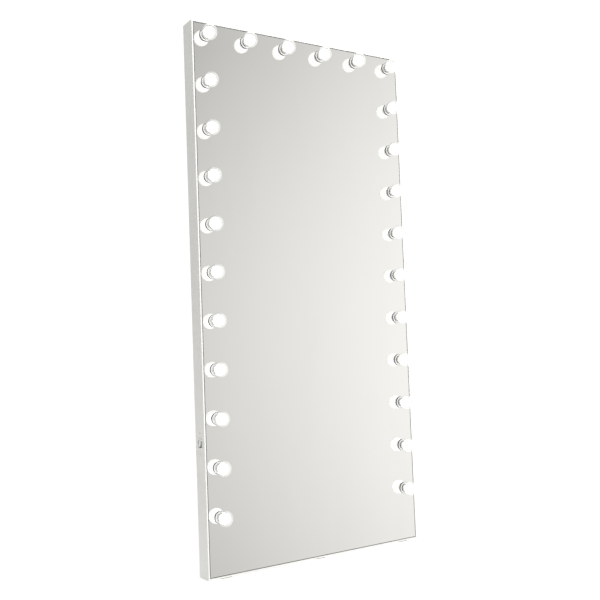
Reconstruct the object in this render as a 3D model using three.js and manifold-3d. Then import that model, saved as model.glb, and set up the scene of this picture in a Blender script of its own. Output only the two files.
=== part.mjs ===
// A full-length vanity mirror with globe bulbs along its top and both long sides.
// Millimetres, +Z up, +X to the viewer's right, the glass facing -Y. The origin is on the floor,
// at the middle of the base. Inside the cabinet group, y is the depth behind the front face and
// z the height above the underside of the frame.
import * as THREE from 'three';
import { mergeVertices } from 'three/addons/utils/BufferGeometryUtils.js';
import Module from 'manifold-3d';

const wasm = await Module();
wasm.setup();

// Driving dimensions
const WIDTH = 864;
const HEIGHT = 1829;
const DEPTH = 66.6;
const SHEET = 1.6;
const PAD_HEIGHT = 2;
const LIP = 5.2;
const LIP_CHAMFER = 0.8;
const GAP = 0.3;

const GLASS_EDGE = 7.6;
const GLASS_FRONT = 1;
const GLASS = 4;
const GLASS_BACK = GLASS_FRONT + GLASS;
const LEDGE_FRONT = 7.6;
const LEDGE_END = 22;
const FLANGE_BACK = 63;
const FLANGE_END = 18;

const BULB_X = 382;
const SIDE_BULBS = 11;
const TOP_BULBS = 4;
const TOP_ROW = HEIGHT - 45.5;
const BULB_PITCH = 159;
const GLOBE_RADIUS = 26.2;
const GLOBE_CENTRE = -31;
const NECK_RADIUS = 13.2;
const CAP_RADIUS = 5.9;
const CAP_BACK = 19;

const COLLAR_RADIUS = 21.5;
const COLLAR_FRONT = -4;
const BARREL_RADIUS = 15;
const BARREL_BACK = 32;
const RAIL_WIDTH = 44;
const RAIL_SHEET = 1.2;
const RAIL_DEPTH = 11.2;

const SWITCH_Y = 30.5;
const SWITCH_Z = 431.5;
const SWITCH_SCREW_OFFSET = 33.5;
const ROCKER_REST_DEG = 8;

const PANEL = 1;
const PANEL_FRONT = FLANGE_BACK + GAP;
const PANEL_BACK = PANEL_FRONT + PANEL;
const HANGER_X = 250;
const HANGER_Z = 1736;
const INLET_X = -330;
const INLET_Z = 148;
const BOX_X = -215;
const BOX_Z = 150;
const LOOM_Y = 50;

// Materials
const finish = (color, roughness, metalness) => (
  new THREE.MeshStandardMaterial({ color, roughness, metalness })
);
const WHITE_PAINT = finish(0xe9e9e5, 0.45, 0);
const MIRROR = finish(0xdfe3e1, 0.03, 1);
const BARE_STEEL = finish(0xb4b6b8, 0.4, 1);
const ALUMINIUM = finish(0xd0d2d4, 0.3, 1);
const LAMP_GLASS = finish(0xfffaf0, 0.08, 0);
const BLACK_FOAM = finish(0x2a2a2a, 0.9, 0);
const HARDBOARD = finish(0x8a6a48, 0.8, 0);
const WHITE_PLASTIC = finish(0xf1f1ee, 0.35, 0);
const BLACK_PLASTIC = finish(0x1c1c1e, 0.5, 0);
const GREY_PLASTIC = finish(0xb9bbbc, 0.5, 0);
const WIRE_SLEEVE = finish(0x303234, 0.6, 0);
const GREY_RUBBER = finish(0x4a4a4c, 0.9, 0);

// Geometry helpers
function toSolid(geometry) {
  const bare = geometry.clone();
  bare.deleteAttribute('normal');
  bare.deleteAttribute('uv');
  const merged = mergeVertices(bare, 1e-4);
  const corners = merged.index.array;
  const kept = [];
  for (let i = 0; i < corners.length; i += 3) {
    const [a, b, c] = [corners[i], corners[i + 1], corners[i + 2]];
    if (a !== b && b !== c && c !== a) {
      kept.push(a, b, c);
    }
  }
  return new wasm.Manifold(new wasm.Mesh({
    numProp: 3,
    vertProperties: new Float32Array(merged.attributes.position.array),
    triVerts: new Uint32Array(kept),
  }));
}

function toGeometry(solid) {
  const { vertProperties, triVerts } = solid.getMesh();
  const geometry = new THREE.BufferGeometry();
  geometry.setAttribute('position', new THREE.BufferAttribute(new Float32Array(vertProperties), 3));
  geometry.setIndex(new THREE.BufferAttribute(new Uint32Array(triVerts), 1));
  geometry.computeVertexNormals();
  return geometry;
}

function joined(first, ...others) {
  const sum = others.reduce((solid, other) => solid.add(toSolid(other)), toSolid(first));
  return toGeometry(sum);
}

function cut(geometry, ...tools) {
  const rest = tools.reduce((solid, tool) => solid.subtract(toSolid(tool)), toSolid(geometry));
  return toGeometry(rest);
}

function box(from, to) {
  const size = to.map((end, axis) => end - from[axis]);
  const middle = to.map((end, axis) => (end + from[axis]) / 2);
  return new THREE.BoxGeometry(...size).translate(...middle);
}

function centredBox([x, y, z], [width, depth, height]) {
  return new THREE.BoxGeometry(width, depth, height).translate(x, y, z);
}

function outline(points) {
  return new THREE.Shape(points.map(([a, b]) => new THREE.Vector2(a, b)));
}

function rectangle(left, bottom, right, top) {
  return outline([[left, bottom], [right, bottom], [right, top], [left, top]]);
}

// A shape drawn in x and z, as a plate between two depths
function plate(shape, front, back, curveSegments = 6) {
  const options = { depth: back - front, bevelEnabled: false, curveSegments };
  return new THREE.ExtrudeGeometry(shape, options).rotateX(Math.PI / 2).translate(0, back, 0);
}

// A turned piece about the depth axis, from its (radius, depth) profile
function turned(profile, segments) {
  return new THREE.LatheGeometry(profile.map(([r, y]) => new THREE.Vector2(r, y)), segments);
}

function tube(points, radius, sides, steps) {
  const section = new THREE.Shape().absarc(0, 0, radius, 0, 2 * Math.PI, false);
  const route = points.map((point) => new THREE.Vector3(...point));
  const extrudePath = new THREE.CatmullRomCurve3(route, false, 'centripetal');
  return new THREE.ExtrudeGeometry(section, { steps, extrudePath, curveSegments: sides / 2 });
}

function piece(name, geometry, material, position = [0, 0, 0], turnY = 0) {
  const mesh = new THREE.Mesh(geometry, material);
  mesh.name = name;
  mesh.position.set(...position);
  mesh.rotation.y = turnY;
  return mesh;
}

// The four corners of the cabinet, each with the turn that points a piece's x and z inwards
const CORNERS = {
  bottom_left: { at: [-WIDTH / 2, 0, 0], turn: 0 },
  bottom_right: { at: [WIDTH / 2, 0, 0], turn: -Math.PI / 2 },
  top_right: { at: [WIDTH / 2, 0, HEIGHT], turn: Math.PI },
  top_left: { at: [-WIDTH / 2, 0, HEIGHT], turn: Math.PI / 2 },
};

// Frame: folded sheet section, x inwards from the outer face and y back from the front face
const FRAME_SECTION = [
  [LIP_CHAMFER, 0],
  [LIP, 0],
  [LIP, LEDGE_FRONT],
  [LEDGE_END, LEDGE_FRONT],
  [LEDGE_END, LEDGE_FRONT + SHEET],
  [LIP - SHEET, LEDGE_FRONT + SHEET],
  [LIP - SHEET, SHEET],
  [SHEET, SHEET],
  [SHEET, FLANGE_BACK - SHEET],
  [FLANGE_END, FLANGE_BACK - SHEET],
  [FLANGE_END, FLANGE_BACK],
  [SHEET, FLANGE_BACK],
  [SHEET, DEPTH],
  [0, DEPTH],
  [0, LIP_CHAMFER],
];

// A bar with both ends mitred at 45 degrees, short of the true mitre by half a gap
function mitredBar(length) {
  const bar = new THREE.ExtrudeGeometry(outline(FRAME_SECTION), { depth: length, bevelEnabled: false });
  const place = bar.attributes.position;
  for (let i = 0; i < place.count; i += 1) {
    const inset = place.getX(i) + GAP / 2;
    place.setZ(i, place.getZ(i) < length / 2 ? inset : length - inset);
  }
  return bar;
}

const SWITCH_BODY = { width: 24.8, height: 25.2, depth: 20, bezelWidth: 30, bezelHeight: 32 };
const SWITCH_APERTURE = { width: 21.4, height: 21.8, depth: 15 };

// The opening and screw holes for the rocker switch, cut through the left stile
function switchCutouts() {
  const opening = centredBox(
    [0, SWITCH_Y, SWITCH_Z],
    [4 * SHEET, SWITCH_BODY.width + 2 * GAP, SWITCH_BODY.height + 2 * GAP],
  );
  const holes = [-1, 1].map((side) => (
    new THREE.CylinderGeometry(2.1, 2.1, 4 * SHEET, 10)
      .rotateZ(Math.PI / 2)
      .translate(0, SWITCH_Y, SWITCH_Z + side * SWITCH_SCREW_OFFSET)
  ));
  return [opening, ...holes];
}

function frame() {
  const bars = [
    ['left_stile', cut(mitredBar(HEIGHT), ...switchCutouts()), CORNERS.bottom_left],
    ['bottom_rail', mitredBar(WIDTH), CORNERS.bottom_right],
    ['right_stile', mitredBar(HEIGHT), CORNERS.top_right],
    ['top_rail', mitredBar(WIDTH), CORNERS.top_left],
  ];
  return bars.map(([name, bar, { at, turn }]) => piece(name, bar, WHITE_PAINT, at, turn));
}

// Steel angles that join the bars at the corners, inside the webs
function cornerBrackets() {
  const near = SHEET + GAP;
  const far = near + 2;
  const reach = 72;
  const angle = outline([
    [near, near],
    [reach, near],
    [reach, far],
    [far, far],
    [far, reach],
    [near, reach],
  ]);
  return Object.entries(CORNERS).map(([name, { at, turn }]) => (
    piece(`corner_bracket_${name}`, plate(angle, 14, 56), BARE_STEEL, at, turn)
  ));
}

// Bulb places, as rows along the left side, the top and the right side
const LOWEST_BULB = TOP_ROW - (SIDE_BULBS - 1) * BULB_PITCH;
const SIDE_HEIGHTS = Array.from({ length: SIDE_BULBS }, (_, i) => LOWEST_BULB + i * BULB_PITCH);
const TOP_PITCH = (2 * BULB_X) / (TOP_BULBS + 1);
const TOP_PLACES = Array.from({ length: TOP_BULBS }, (_, i) => -BULB_X + (i + 1) * TOP_PITCH);
const BULB_ROWS = {
  left: SIDE_HEIGHTS.map((z) => [-BULB_X, z]),
  top: TOP_PLACES.map((x) => [x, TOP_ROW]),
  right: SIDE_HEIGHTS.map((z) => [BULB_X, z]),
};

function mirrorGlass() {
  const sheet = rectangle(
    -WIDTH / 2 + GLASS_EDGE,
    GLASS_EDGE,
    WIDTH / 2 - GLASS_EDGE,
    HEIGHT - GLASS_EDGE,
  );
  const holeRadius = BARREL_RADIUS + 1.6;
  sheet.holes = Object.values(BULB_ROWS).flat().map(([x, z]) => (
    new THREE.Path().absarc(x, z, holeRadius, 0, 2 * Math.PI, true)
  ));
  return piece('mirror_glass', plate(sheet, GLASS_FRONT, GLASS_BACK, 5), MIRROR);
}

// A foam seal between the back of the glass and the ledge, seen only through the gap at its edge
function edgeGasket() {
  const outer = 5.5;
  const inner = 15;
  const ring = rectangle(-WIDTH / 2 + outer, outer, WIDTH / 2 - outer, HEIGHT - outer);
  ring.holes = [rectangle(-WIDTH / 2 + inner, inner, WIDTH / 2 - inner, HEIGHT - inner)];
  return piece('edge_gasket', plate(ring, GLASS_BACK + GAP, LEDGE_FRONT - GAP), BLACK_FOAM);
}

// Hardboard behind the glass, between the lampholder rails
function backingBoard() {
  const side = BULB_X - RAIL_WIDTH / 2 - 4;
  const board = rectangle(-side, 30, side, TOP_ROW - RAIL_WIDTH / 2 - 4);
  return piece('backing_board', plate(board, GLASS_BACK + GAP, GLASS_BACK + GAP + 3), HARDBOARD);
}

// One lampholder's outside: a barrel through the glass, with a collar in front of it
function lampholderBarrel(along) {
  const profile = [
    [0, COLLAR_FRONT],
    [COLLAR_RADIUS, COLLAR_FRONT],
    [COLLAR_RADIUS, GLASS_FRONT - GAP],
    [BARREL_RADIUS, GLASS_FRONT - GAP],
    [BARREL_RADIUS, BARREL_BACK],
    [0, BARREL_BACK],
  ];
  return turned(profile, 10).translate(0, 0, along);
}

// Its recess, for a bulb's neck and screw cap
function lampholderRecess(along) {
  const neckRoom = NECK_RADIUS + 1.1;
  const capRoom = CAP_RADIUS + 0.6;
  const step = 4.2;
  const floor = CAP_BACK + 2;
  const profile = [
    [0, COLLAR_FRONT - 1],
    [neckRoom, COLLAR_FRONT - 1],
    [neckRoom, step],
    [capRoom, step],
    [capRoom, floor],
    [0, floor],
  ];
  return turned(profile, 10).translate(0, 0, along);
}

// A steel channel behind the glass with its row of lampholders; places are distances along it
function lampholderRail(name, places, ends, position, turnY) {
  const half = RAIL_WIDTH / 2;
  const front = GLASS_BACK + GAP;
  const back = front + RAIL_DEPTH;
  const channel = outline([
    [-half, front],
    [half, front],
    [half, back],
    [half - RAIL_SHEET, back],
    [half - RAIL_SHEET, front + RAIL_SHEET],
    [RAIL_SHEET - half, front + RAIL_SHEET],
    [RAIL_SHEET - half, back],
    [-half, back],
  ]);
  const strip = new THREE.ExtrudeGeometry(channel, { depth: ends[1] - ends[0], bevelEnabled: false })
    .translate(0, 0, ends[0]);
  const rail = cut(joined(strip, ...places.map(lampholderBarrel)), ...places.map(lampholderRecess));
  return piece(name, rail, ALUMINIUM, position, turnY);
}

function lampholderRails() {
  const sideEnds = [LOWEST_BULB - 40, TOP_ROW + RAIL_WIDTH / 2];
  const topHalf = BULB_X - RAIL_WIDTH / 2 - 2;
  return [
    lampholderRail('left_lampholder_rail', SIDE_HEIGHTS, sideEnds, [-BULB_X, 0, 0], 0),
    lampholderRail('right_lampholder_rail', SIDE_HEIGHTS, sideEnds, [BULB_X, 0, 0], 0),
    lampholderRail('top_lampholder_rail', TOP_PLACES, [-topHalf, topHalf], [0, 0, TOP_ROW], Math.PI / 2),
  ];
}

// A bulb: screw cap, neck in the collar, and globe
function bulbGeometry() {
  const start = Math.asin(NECK_RADIUS / GLOBE_RADIUS);
  const bands = 5;
  const globe = Array.from({ length: bands + 1 }, (_, i) => {
    const angle = start + ((Math.PI - start) * i) / bands;
    const radius = i === bands ? 0 : GLOBE_RADIUS * Math.sin(angle);
    return [radius, GLOBE_CENTRE + GLOBE_RADIUS * Math.cos(angle)];
  });
  const stem = [[NECK_RADIUS, 3.6], [CAP_RADIUS, 3.6], [CAP_RADIUS, CAP_BACK], [0, CAP_BACK]];
  return turned([...globe.reverse(), ...stem], 12);
}

function bulbs() {
  const geometry = bulbGeometry();
  return Object.entries(BULB_ROWS).flatMap(([row, places]) => (
    places.map(([x, z], i) => {
      const number = String(i + 1).padStart(2, '0');
      return piece(`${row}_bulb_${number}`, geometry, LAMP_GLASS, [x, 0, z]);
    })
  ));
}

// Rocker switch on the left side. Its group has x outwards from the stile's outer face.
const PIVOT_DEPTH = 4;
const PIN_RADIUS = 1.5;

function switchHousing() {
  const { width, height, depth, bezelWidth, bezelHeight } = SWITCH_BODY;
  const body = box([-depth, -width / 2, -height / 2], [1, width / 2, height / 2]);
  const bezel = box([GAP, -bezelWidth / 2, -bezelHeight / 2], [GAP + 2, bezelWidth / 2, bezelHeight / 2]);
  const tabs = [-7, 0, 7].map((z) => centredBox([-depth - 3.5, 0, z], [8, 6.3, 0.8]));
  const well = centredBox(
    [GAP + 3 - SWITCH_APERTURE.depth / 2, 0, 0],
    [SWITCH_APERTURE.depth, SWITCH_APERTURE.width, SWITCH_APERTURE.height],
  );
  const bearing = new THREE.CylinderGeometry(PIN_RADIUS + 0.4, PIN_RADIUS + 0.4, width - 0.8, 12)
    .translate(-PIVOT_DEPTH, 0, 0);
  return cut(joined(body, bezel, ...tabs), well, bearing);
}

// The paddle dips at its middle, so that the half pressed in lies parallel to the bezel
function rockerPaddle() {
  const half = 9.5;
  const dip = PIVOT_DEPTH + 2.6;
  const rise = half * Math.tan(THREE.MathUtils.degToRad(ROCKER_REST_DEG));
  const side = outline([
    [dip, 0],
    [dip + rise, half],
    [1, half],
    [-5, 5],
    [-5, -5],
    [1, -half],
    [dip + rise, -half],
  ]);
  const paddleWidth = 17;
  const paddle = plate(side, -paddleWidth / 2, paddleWidth / 2);
  const pin = new THREE.CylinderGeometry(PIN_RADIUS, PIN_RADIUS, 23.4, 8);
  return joined(paddle, pin);
}

// A strap behind the stile's web, which the two outer screws pull the switch against
function switchBracket() {
  const back = -(SHEET + GAP + 1.5);
  const front = -(SHEET + GAP);
  const { width, height } = SWITCH_BODY;
  const strap = box([back, -18, -44], [front, 18, 44]);
  const opening = centredBox([back, 0, 0], [8, width + 0.8, height + 0.8]);
  const holes = [-1, 1].map((side) => (
    new THREE.CylinderGeometry(1.9, 1.9, 8, 10)
      .rotateZ(Math.PI / 2)
      .translate(back, 0, side * SWITCH_SCREW_OFFSET)
  ));
  return cut(strap, opening, ...holes);
}

function switchScrew() {
  const profile = [[0, 1.6], [2.2, 1.4], [3.2, 0.7], [3.2, GAP], [1.5, GAP], [1.5, -7], [0, -7]];
  return turned(profile.reverse(), 10).rotateZ(-Math.PI / 2);
}

function rockerSwitch() {
  const group = new THREE.Group();
  group.position.set(-WIDTH / 2, SWITCH_Y, SWITCH_Z);
  group.rotation.z = Math.PI;
  const rest = THREE.MathUtils.degToRad(-ROCKER_REST_DEG);
  group.add(
    piece('switch_housing', switchHousing(), WHITE_PLASTIC),
    piece('switch_rocker', rockerPaddle(), WHITE_PLASTIC, [-PIVOT_DEPTH, 0, 0], rest),
    piece('switch_bracket', switchBracket(), BARE_STEEL),
    piece('upper_switch_screw', switchScrew(), BARE_STEEL, [0, 0, SWITCH_SCREW_OFFSET]),
    piece('lower_switch_screw', switchScrew(), BARE_STEEL, [0, 0, -SWITCH_SCREW_OFFSET]),
  );
  return group;
}

// Back: a steel panel with a hole for the power inlet and windows behind the two hanger plates
const WINDOW = { width: 50, height: 36 };
const INLET = { width: 27.4, height: 19.8, flangeWidth: 50, flangeHeight: 23, depth: 23.6 };

function centredRectangle(x, z, width, height) {
  return rectangle(x - width / 2, z - height / 2, x + width / 2, z + height / 2);
}

function backPanel() {
  const edge = SHEET + 2 * GAP;
  const sheet = rectangle(-WIDTH / 2 + edge, edge, WIDTH / 2 - edge, HEIGHT - edge);
  const through = 8;
  const windows = [-HANGER_X, HANGER_X].map((x) => (
    centredBox([x, PANEL_BACK, HANGER_Z], [WINDOW.width, through, WINDOW.height])
  ));
  const inletHole = centredBox(
    [INLET_X, PANEL_BACK, INLET_Z],
    [INLET.width + 2 * GAP, through, INLET.height + 2 * GAP],
  );
  const panel = cut(plate(sheet, PANEL_FRONT, PANEL_BACK), ...windows, inletHole);
  return piece('back_panel', panel, WHITE_PAINT);
}

// A keyhole: the screw's head goes in at the round end, and its shank slides up the slot
function keyhole(x, z) {
  const headRadius = 6;
  const slotRadius = 3;
  const slotTop = z + 11;
  const meet = Math.asin(slotRadius / headRadius);
  return new THREE.Path()
    .absarc(x, slotTop, slotRadius, 0, Math.PI, false)
    .absarc(x, z - 4, headRadius, Math.PI / 2 + meet, Math.PI / 2 - meet + 2 * Math.PI, false);
}

// Keyhole plates on the outside of the panel, over its windows and level with the frame's rear edge
function hangerPlates() {
  return [['left_hanger_plate', -HANGER_X], ['right_hanger_plate', HANGER_X]].map(([name, x]) => {
    const steel = centredRectangle(x, HANGER_Z, WINDOW.width + 24, WINDOW.height + 24);
    steel.holes = [keyhole(x, HANGER_Z)];
    return piece(name, plate(steel, PANEL_BACK + GAP, DEPTH, 4), BARE_STEEL);
  });
}

// A three-pin appliance inlet, its well open to the back
function powerInlet() {
  const { width, height, flangeWidth, flangeHeight, depth } = INLET;
  const face = DEPTH;
  const flangeFront = PANEL_BACK + GAP;
  const wellFloor = face - 17;
  const body = box([-width / 2, face - depth, -height / 2], [width / 2, face - 1, height / 2]);
  const flange = box(
    [-flangeWidth / 2, flangeFront, -flangeHeight / 2],
    [flangeWidth / 2, face, flangeHeight / 2],
  );
  const well = box([-12.3, wellFloor, -8.5], [12.3, face + 1, 8.5]);
  const pins = [[-7, -1.5], [7, -1.5], [0, 3]].map(([x, z]) => (
    box([x - 1, wellFloor - 1, z - 2], [x + 1, wellFloor + 11, z + 2])
  ));
  const tabs = [-8, 0, 8].map((x) => centredBox([x, face - depth - 3.5, 0], [0.8, 8, 6.3]));
  const shell = cut(joined(body, flange, ...tabs), well);
  return piece('power_inlet', joined(shell, ...pins), BLACK_PLASTIC, [INLET_X, 0, INLET_Z]);
}

// Junction box on the inside of the back panel, with its lid towards the glass
function junctionBox() {
  const half = [55, 30];
  const wall = 2;
  const back = PANEL_FRONT - GAP;
  const front = back - 22;
  const place = [BOX_X, 0, BOX_Z];
  const shell = box([-half[0], front, -half[1]], [half[0], back, half[1]]);
  const inside = box(
    [wall - half[0], front - 1, wall - half[1]],
    [half[0] - wall, back - wall, half[1] - wall],
  );
  const lid = box([-half[0], front - GAP - wall, -half[1]], [half[0], front - GAP, half[1]]);
  const strip = box([-34, back - wall - GAP - 13, -9], [34, back - wall - GAP, 9]);
  const ways = [-24, -8, 8, 24].map((x) => centredBox([x, back - wall - 13, 0], [9, 12, 12]));
  return [
    piece('junction_box', cut(shell, inside), GREY_PLASTIC, place),
    piece('junction_box_lid', lid, GREY_PLASTIC, place),
    piece('terminal_block', cut(strip, ...ways), WHITE_PLASTIC, place),
  ];
}

// Wiring: the loom runs behind the lampholders, and two leads join inlet, switch and junction box
function wiring() {
  const up = BULB_X;
  const top = TOP_ROW;
  const boxTop = BOX_Z + 30 + 2 * GAP;
  const loom = [
    [BOX_X - 30, LOOM_Y, boxTop],
    [BOX_X - 34, LOOM_Y, boxTop + 24],
    [-up + 70, LOOM_Y, boxTop + 54],
    [-up + 14, LOOM_Y, boxTop + 90],
    [-up, LOOM_Y, boxTop + 160],
    [-up, LOOM_Y, top / 2],
    [-up, LOOM_Y, top - 90],
    [-up + 24, LOOM_Y, top - 24],
    [-up + 90, LOOM_Y, top],
    [0, LOOM_Y, top],
    [up - 90, LOOM_Y, top],
    [up - 24, LOOM_Y, top - 24],
    [up, LOOM_Y, top - 90],
    [up, LOOM_Y, top / 2],
    [up, LOOM_Y, LOWEST_BULB],
  ];
  const switchInside = -WIDTH / 2 + SWITCH_BODY.depth + 9;
  const inletEnd = DEPTH - INLET.depth - 12;
  const supply = [
    [INLET_X - 8, inletEnd, INLET_Z],
    [INLET_X - 14, inletEnd + 1, INLET_Z + 20],
    [INLET_X - 50, inletEnd + 9, INLET_Z + 56],
    [INLET_X - 82, inletEnd + 9, INLET_Z + 112],
    [INLET_X - 86, inletEnd + 9, INLET_Z + 190],
    [INLET_X - 84, inletEnd + 5, SWITCH_Z - 50],
    [switchInside + 2, SWITCH_Y, SWITCH_Z - 8],
  ];
  const switched = [
    [switchInside + 2, SWITCH_Y, SWITCH_Z + 8],
    [switchInside + 5, SWITCH_Y + 9, SWITCH_Z + 12],
    [switchInside + 6, SWITCH_Y + 20, SWITCH_Z - 8],
    [INLET_X - 72, LOOM_Y + 3, SWITCH_Z - 90],
    [INLET_X - 62, LOOM_Y + 3, INLET_Z + 112],
    [INLET_X - 20, LOOM_Y + 2, INLET_Z + 42],
    [BOX_X - 68, LOOM_Y, BOX_Z + 6],
    [BOX_X - 55 - 4 * GAP, LOOM_Y, BOX_Z],
  ];
  return [
    piece('wiring_loom', tube(loom, 4, 6, 60), WIRE_SLEEVE),
    piece('supply_lead', tube(supply, 3, 6, 18), WIRE_SLEEVE),
    piece('switch_lead', tube(switched, 3, 6, 24), WIRE_SLEEVE),
  ];
}

function footPads() {
  const across = 366;
  return [['left_foot_pad', -across], ['centre_foot_pad', 0], ['right_foot_pad', across]].map(
    ([name, x]) => piece(name, centredBox([x, 0, PAD_HEIGHT / 2], [40, 60, PAD_HEIGHT]), GREY_RUBBER),
  );
}

const cabinet = new THREE.Group();
cabinet.position.set(0, -DEPTH / 2, PAD_HEIGHT);
cabinet.add(
  ...frame(),
  ...cornerBrackets(),
  mirrorGlass(),
  edgeGasket(),
  backingBoard(),
  ...lampholderRails(),
  ...bulbs(),
  rockerSwitch(),
  backPanel(),
  ...hangerPlates(),
  powerInlet(),
  ...junctionBox(),
  ...wiring(),
);

const mirror = new THREE.Group();
mirror.add(cabinet, ...footPads());

export default mirror;
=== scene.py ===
"""Looks for a full-length lighted vanity mirror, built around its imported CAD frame.

Lengths of the mirror's own pieces are millimetres, and place() turns a point into the row frame. A point
is given as x, v, z: x as in the row frame, v the depth behind the cabinet's front face and z the height
above the underside of the frame. The camera, the floor, the lamps and the depth of a bump are in metres.
"""

import math

import bmesh
import bpy
from mathutils import Matrix, Vector, noise


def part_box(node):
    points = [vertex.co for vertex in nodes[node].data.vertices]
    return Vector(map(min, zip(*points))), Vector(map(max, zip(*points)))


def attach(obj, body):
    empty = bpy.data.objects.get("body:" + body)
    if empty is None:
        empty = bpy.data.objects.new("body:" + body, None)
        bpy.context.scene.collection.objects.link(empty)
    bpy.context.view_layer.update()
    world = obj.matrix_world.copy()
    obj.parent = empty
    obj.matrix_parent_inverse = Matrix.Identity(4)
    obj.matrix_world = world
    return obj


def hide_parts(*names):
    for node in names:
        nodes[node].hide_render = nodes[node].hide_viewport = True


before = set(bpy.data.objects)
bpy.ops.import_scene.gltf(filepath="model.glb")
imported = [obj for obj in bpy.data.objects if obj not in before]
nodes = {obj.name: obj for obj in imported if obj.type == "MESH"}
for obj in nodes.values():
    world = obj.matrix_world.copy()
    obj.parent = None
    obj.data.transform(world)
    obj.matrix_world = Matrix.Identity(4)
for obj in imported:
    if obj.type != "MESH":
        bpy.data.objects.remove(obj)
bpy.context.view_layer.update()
scene = bpy.context.scene
scene.view_settings.view_transform = "Standard"

MM = 0.001

# Where the frame stands, read from the CAD nodes
stile_low, stile_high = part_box("left_stile")
FRONT = stile_low.y
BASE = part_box("bottom_rail")[0].z
WIDTH = (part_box("right_stile")[1].x - stile_low.x) / MM
HEIGHT = (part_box("top_rail")[1].z - BASE) / MM
DEPTH = (stile_high.y - stile_low.y) / MM


def place(x, v, z):
    return Vector((x * MM, FRONT + v * MM, BASE + z * MM))


# ---------------------------------------------------------------- camera

CAMERA_AT = (-1.5700, -2.4382, 0.7498)
CAMERA_RIGHT = Vector((0.84551, -0.53264, -0.03745))
CAMERA_UP = Vector((0.00373, -0.06425, 0.99793))
CAMERA_LENS = 48.907
CAMERA_SENSOR = 36
CAMERA_REACH = (0.05, 100)

camera_data = bpy.data.cameras.new("camera")
camera_data.sensor_width = CAMERA_SENSOR
camera_data.lens = CAMERA_LENS
camera_data.clip_start, camera_data.clip_end = CAMERA_REACH
camera = bpy.data.objects.new("camera", camera_data)
back = CAMERA_RIGHT.cross(CAMERA_UP).normalized()
up = back.cross(CAMERA_RIGHT).normalized()
right = up.cross(back).normalized()
camera.matrix_world = Matrix.Translation(CAMERA_AT) @ Matrix((right, up, back)).transposed().to_4x4()
scene.collection.objects.link(camera)
scene.camera = camera


# ---------------------------------------------------------------- materials


# Most of a noise's values lie between these two
NOISE_LOW = 0.3
NOISE_HIGH = 0.7


class Nodes:
    """Short ways to add nodes to one tree and to join them"""

    def __init__(self, tree):
        self.tree = tree

    def add(self, kind, **settings):
        node = self.tree.nodes.new(kind)
        for key, value in settings.items():
            setattr(node, key, value)
        return node

    def join(self, source, target):
        self.tree.links.new(source, target)

    def feed(self, value, target):
        """Joins a socket to the target, or sets the target to a plain number"""
        if isinstance(value, (int, float)):
            target.default_value = value
        else:
            self.join(value, target)

    def combined(self, operation, a, b):
        node = self.add("ShaderNodeMath", operation=operation)
        for target, value in zip(node.inputs, (a, b)):
            self.feed(value, target)
        return node.outputs["Value"]

    def ranged(self, value, low, high, new_low, new_high, blend="LINEAR"):
        node = self.add("ShaderNodeMapRange", interpolation_type=blend)
        for socket, number in zip(
            ("From Min", "From Max", "To Min", "To Max"), (low, high, new_low, new_high)
        ):
            node.inputs[socket].default_value = number
        self.join(value, node.inputs["Value"])
        return node.outputs["Result"]

    def mixed(self, share, a, b):
        """a where the share is 0, b where it is 1"""
        node = self.add("ShaderNodeMix", data_type="FLOAT")
        self.join(share, node.inputs["Factor"])
        self.feed(a, node.inputs["A"])
        self.feed(b, node.inputs["B"])
        return node.outputs["Result"]


class Look(Nodes):
    """A node material, with short ways to add the nodes that these finishes share"""

    def __init__(self, name, **sockets):
        self.material = bpy.data.materials.new(name)
        self.material.use_nodes = True
        super().__init__(self.material.node_tree)
        self.shader = self.tree.nodes["Principled BSDF"]
        for socket, value in sockets.items():
            title = socket.replace("_", " ").title().replace("Ior", "IOR")
            self.shader.inputs[title].default_value = value
        self.space = self.add("ShaderNodeTexCoord").outputs["Object"]

    def stretched(self, scale):
        """The object's own space, stretched per axis"""
        mapping = self.add("ShaderNodeMapping", vector_type="POINT")
        mapping.inputs["Scale"].default_value = scale
        self.join(self.space, mapping.inputs["Vector"])
        return mapping.outputs["Vector"]

    def noise(self, scale, detail=2.0, roughness=0.5, distortion=0.0, space=None):
        node = self.add("ShaderNodeTexNoise")
        node.inputs["Scale"].default_value = scale
        node.inputs["Detail"].default_value = detail
        node.inputs["Roughness"].default_value = roughness
        node.inputs["Distortion"].default_value = distortion
        self.join(space or self.space, node.inputs["Vector"])
        return node.outputs["Fac"]

    def spread(self, value, most):
        """A noise as a difference of up to this much either way"""
        return self.ranged(value, NOISE_LOW, NOISE_HIGH, -most, most)

    def colours(self, value, *stops):
        node = self.add("ShaderNodeValToRGB")
        ramp = node.color_ramp
        while len(ramp.elements) < len(stops):
            ramp.elements.new(0.5)
        for element, (position, colour) in zip(ramp.elements, stops):
            element.position = position
            element.color = (*colour, 1)
        self.join(value, node.inputs["Fac"])
        self.join(node.outputs["Color"], self.shader.inputs["Base Color"])

    def two_tone(self, value, dark, light):
        self.colours(value, (NOISE_LOW, dark), (NOISE_HIGH, light))

    def rough(self, value, low, high):
        self.join(self.ranged(value, NOISE_LOW, NOISE_HIGH, low, high), self.shader.inputs["Roughness"])

    def bump(self, height, strength, distance):
        node = self.add("ShaderNodeBump")
        node.inputs["Strength"].default_value = strength
        node.inputs["Distance"].default_value = distance
        self.join(height, node.inputs["Height"])
        self.join(node.outputs["Normal"], self.shader.inputs["Normal"])


def powder_coat(name, light, dark, peel=0.35):
    """Sprayed and baked paint: faint orange peel, cloudy tone, and dull scuffs"""
    look = Look(name, specular_ior_level=0.45)
    cloud = look.noise(2.6, 4, 0.6)
    speck = look.noise(420, 2, 0.5)
    tone = look.combined("ADD", cloud, look.spread(speck, 0.06))
    look.colours(tone, (0.3, dark), (0.55, light), (0.8, light))
    look.rough(look.noise(22, 5, 0.65), 0.33, 0.46)
    look.bump(look.noise(760, 2, 0.45), peel, 0.00012)
    return look.material


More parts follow.
